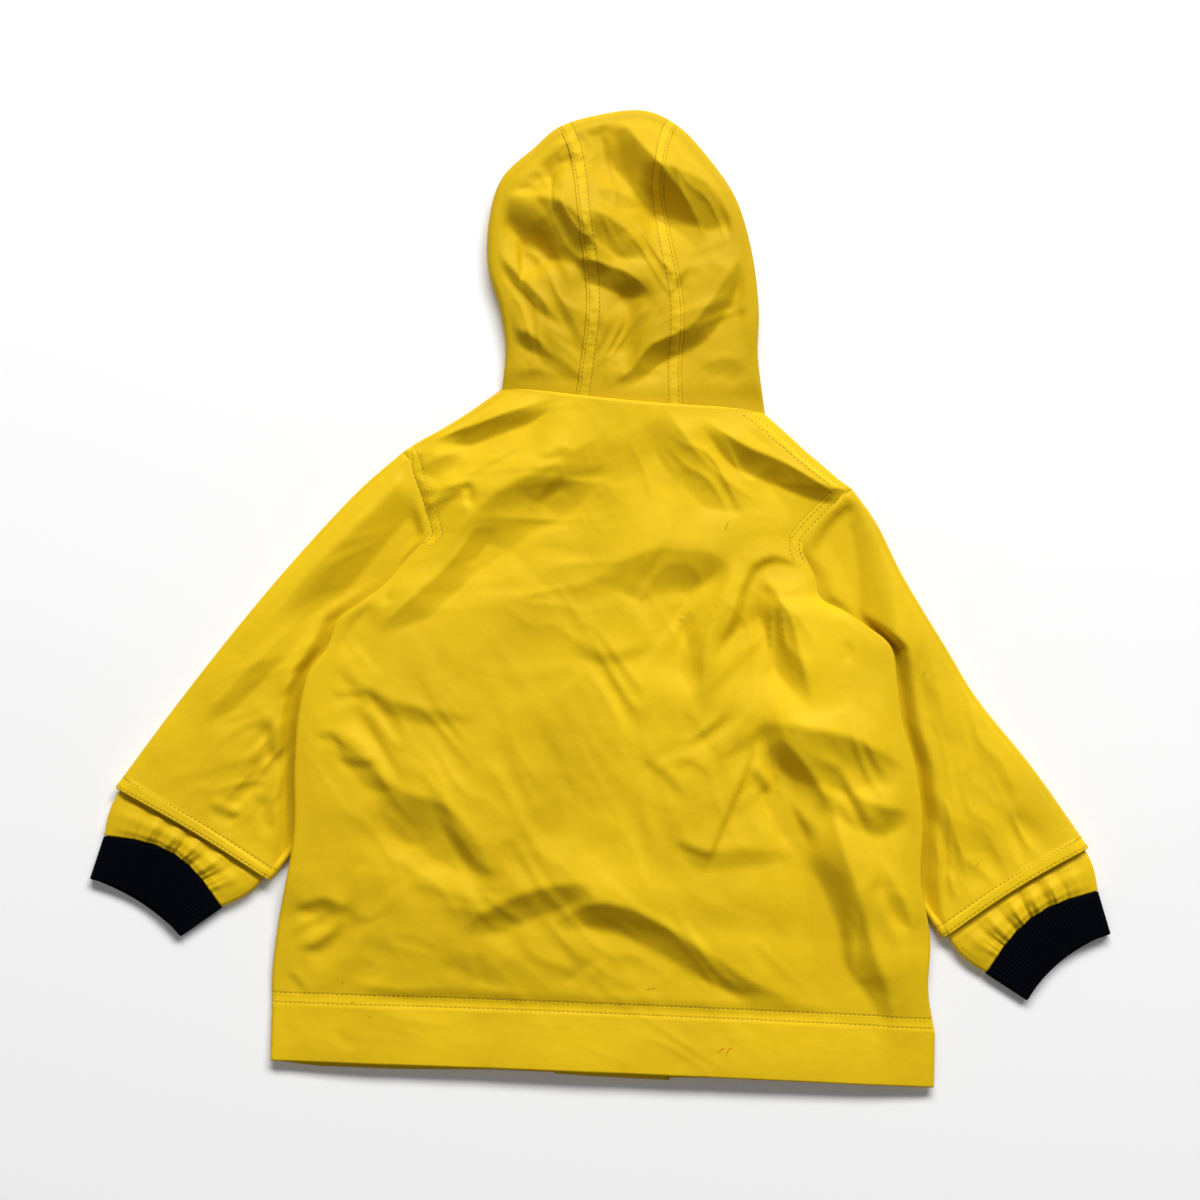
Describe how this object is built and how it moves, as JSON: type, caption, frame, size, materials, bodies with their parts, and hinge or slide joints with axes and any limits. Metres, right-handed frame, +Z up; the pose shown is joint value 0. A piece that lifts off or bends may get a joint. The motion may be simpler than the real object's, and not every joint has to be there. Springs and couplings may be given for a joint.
{
  "type": "kids raincoat",
  "caption": "A child's hooded raincoat lying on its front: back, flattened sleeves with gathered inner cuffs and knitted ribs, gusseted hood, closed front placket.",
  "frame": {"origin": "under the middle of the coat's box, on the surface it lies on", "axes": "+Z up from the surface, +Y along the back towards the hood, +X to the right sleeve as seen from above the back"},
  "size_m": [0.673, 0.6388, 0.0318],
  "materials": {
    "yellow_cloth": "coated cloth with a soft sheen",
    "navy_rib": "knitted rib, matt",
    "snap": "satin"
  },
  "bodies": {
    "root": {"back_panel": "yellow_cloth", "front_left": "yellow_cloth", "front_right": "yellow_cloth", "front_underlap": "yellow_cloth", "front_placket": "yellow_cloth", "snap_1": "snap", "snap_2": "snap", "snap_3": "snap", "snap_4": "snap", "snap_5": "snap", "sleeve_left": "yellow_cloth", "inner_cuff_left": "yellow_cloth", "rib_left": "navy_rib", "sleeve_right": "yellow_cloth", "inner_cuff_right": "yellow_cloth", "rib_right": "navy_rib", "hood_gusset": "yellow_cloth", "hood_left": "yellow_cloth", "hood_right": "yellow_cloth"}
  },
  "joints": []
}
